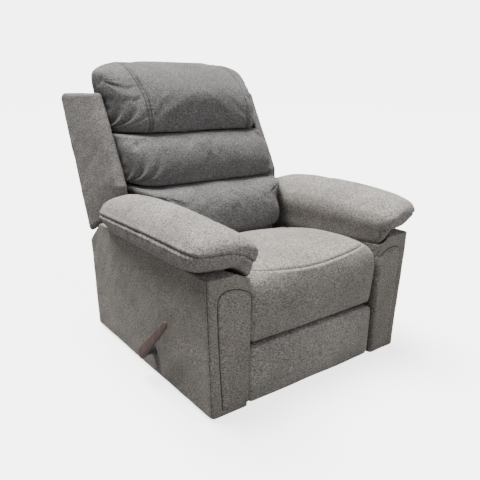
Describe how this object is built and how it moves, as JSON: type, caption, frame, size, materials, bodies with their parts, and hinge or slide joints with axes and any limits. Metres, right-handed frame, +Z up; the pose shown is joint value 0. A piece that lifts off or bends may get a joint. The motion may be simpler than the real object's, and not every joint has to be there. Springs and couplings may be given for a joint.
{
  "type": "recliner armchair",
  "caption": "Upholstered manual recliner armchair with pillow back, padded arm rests, folding footrest and a wooden side lever.",
  "frame": {"origin": "on the floor under the centre of the chair's box, at rest", "axes": "+Z up, the chair faces -Y, +X is towards the sitter's left; the lever is at -X"},
  "size_m": [0.9694, 1.103, 1.048],
  "materials": {
    "chenille_body": "heathered woven chenille",
    "chenille_back": "heathered woven chenille",
    "lever_wood": "stained, satin varnish",
    "frame_wood": "bare pine and plywood",
    "steel": "black paint, semi-gloss",
    "spring_steel": "drawn wire",
    "black_plastic": "moulded, matt"
  },
  "bodies": {
    "base": {"arm_outer_panel_left": "chenille_body", "arm_inner_panel_left": "chenille_body", "arm_front_panel_left": "chenille_body", "arm_rear_panel_left": "chenille_body", "arm_frame_left": "frame_wood", "arm_rest_left": "chenille_body", "arm_outer_panel_right": "chenille_body", "arm_inner_panel_right": "chenille_body", "arm_front_panel_right": "chenille_body", "arm_rear_panel_right": "chenille_body", "arm_frame_right": "frame_wood", "arm_rest_right": "chenille_body", "glide_front_left": "black_plastic", "glide_front_right": "black_plastic", "glide_rear_left": "black_plastic", "glide_rear_right": "black_plastic", "cross_rail_front": "frame_wood", "cross_rail_rear": "frame_wood", "rear_panel": "chenille_body", "lever_bush": "black_plastic", "base_rail_left": "steel", "base_rail_right": "steel"},
    "seat": {"seat_cushion": "chenille_body", "seat_front_pad": "chenille_body", "seat_side_rail_left": "frame_wood", "seat_side_rail_right": "frame_wood", "seat_front_rail": "frame_wood", "seat_rear_rail": "frame_wood", "seat_spring_1": "spring_steel", "seat_spring_2": "spring_steel", "seat_spring_3": "spring_steel", "seat_plate_left": "steel", "seat_plate_right": "steel"},
    "back": {"lumbar_pillow": "chenille_back", "middle_pillow": "chenille_back", "head_pillow": "chenille_back", "back_wing_left": "chenille_back", "back_wing_right": "chenille_back", "back_cover": "chenille_body", "back_lower_cover": "chenille_body", "back_upright_left": "frame_wood", "back_upright_right": "frame_wood", "back_top_rail": "frame_wood", "back_lower_rail": "frame_wood", "back_bracket_left": "steel", "back_bracket_right": "steel"},
    "rear_link": {"rear_link_left": "steel", "rear_link_right": "steel"},
    "front_link": {"front_link_left": "steel", "front_link_right": "steel"},
    "control_link": {"control_link_left": "steel", "control_link_right": "steel"},
    "parallel_link": {"parallel_link_left": "steel", "parallel_link_right": "steel"},
    "footrest": {"footrest_pad": "chenille_body", "footrest_board": "frame_wood", "footrest_bracket_left": "steel", "footrest_bracket_right": "steel"},
    "lever": {"lever_handle": "lever_wood", "lever_shaft": "steel"}
  },
  "joints": [
    {"name": "back_recline", "type": "hinge", "parent": "seat", "child": "back", "pos_m": [0, 0.15, 0.2], "axis": [-1, 0, 0], "range_deg": [0, 30]},
    {"name": "seat_glide", "type": "slide", "parent": "base", "child": "seat", "axis": [0, -1, 0], "range_m": [0, 0.02]},
    {"name": "footrest_open", "type": "hinge", "parent": "seat", "child": "rear_link", "pos_m": [0, -0.38813, 0.19207], "axis": [-1, 0, 0], "range_deg": [0, 95]},
    {"name": "front_link_turn", "type": "hinge", "parent": "rear_link", "child": "front_link", "pos_m": [0, -0.37004, 0.06334], "axis": [1, 0, 0], "range_deg": [0, 135]},
    {"name": "footrest_turn", "type": "hinge", "parent": "front_link", "child": "footrest", "pos_m": [0, -0.4145, 0.1855], "axis": [-1, 0, 0], "range_deg": [0, 135]},
    {"name": "parallel_link_turn", "type": "hinge", "parent": "rear_link", "child": "parallel_link", "pos_m": [0, -0.36517, 0.02868], "axis": [1, 0, 0], "range_deg": [0, 135]},
    {"name": "control_link_turn", "type": "hinge", "parent": "seat", "child": "control_link", "pos_m": [0, -0.36813, 0.16007], "axis": [-1, 0, 0], "range_deg": [0, 98.6]},
    {"name": "lever_turn", "type": "hinge", "parent": "base", "child": "lever", "pos_m": [-0.4, -0.1515, 0.1], "axis": [-1, 0, 0], "range_deg": [0, 80]}
  ],
  "couplings": [
    {"joint": "seat_glide", "follows": "back_recline", "m_per_rad": 0.0381},
    {"joint": "front_link_turn", "follows": "footrest_open", "ratio": 1.421},
    {"joint": "footrest_turn", "follows": "footrest_open", "ratio": 1.421},
    {"joint": "parallel_link_turn", "follows": "footrest_open", "ratio": 1.421},
    {"joint": "control_link_turn", "follows": "footrest_open", "ratio": 1.0372},
    {"joint": "lever_turn", "follows": "footrest_open", "ratio": 0.8421}
  ]
}
